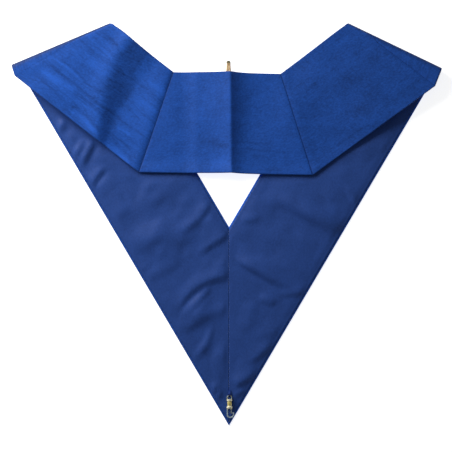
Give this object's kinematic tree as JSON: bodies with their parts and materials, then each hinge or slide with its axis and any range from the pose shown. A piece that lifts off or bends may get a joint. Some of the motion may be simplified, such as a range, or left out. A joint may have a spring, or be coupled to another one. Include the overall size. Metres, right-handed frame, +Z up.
{
  "type": "lodge officer's collar",
  "caption": "Wide moire ribbon collar with a pointed front, lined, folded flat at the shoulders, with a hanging loop at the neck and a swivel snap hook for a jewel at the point.",
  "frame": {"origin": "middle of the collar's plan, on the surface that it lies on", "axes": "+Z up, +Y from the point towards the neck, +X to the right with the lining facing up"},
  "size_m": [0.4284, 0.4024, 0.014],
  "materials": {
    "moire_ribbon": "watered silk",
    "satin_lining": "satin",
    "tab_cloth": "satin",
    "gilt_cord": "twisted cord",
    "gilt_metal": "polished gilt"
  },
  "bodies": {
    "root": {"neck_panel": "moire_ribbon", "left_shoulder_panel": "moire_ribbon", "right_shoulder_panel": "moire_ribbon", "left_front_ribbon": "moire_ribbon", "right_front_ribbon": "moire_ribbon", "left_front_lining": "satin_lining", "right_front_lining": "satin_lining", "hanging_loop": "gilt_cord", "hook_tab": "tab_cloth", "hook_eye": "gilt_metal"},
    "hook": {"hook_body": "gilt_metal"},
    "gate": {"hook_gate": "gilt_metal"}
  },
  "joints": [
    {"name": "hook_swivel", "type": "hinge", "parent": "root", "child": "hook", "pos_m": [0.00252, -0.17923, 0.0056], "axis": [0, -1, 0], "range_deg": [0, 180]},
    {"name": "hook_gate", "type": "hinge", "parent": "hook", "child": "gate", "pos_m": [0.00422, -0.18438, 0.0056], "axis": [0, 0, -1], "range_deg": [0, 30], "stiffness_Nm_per_rad": 0.0005}
  ]
}
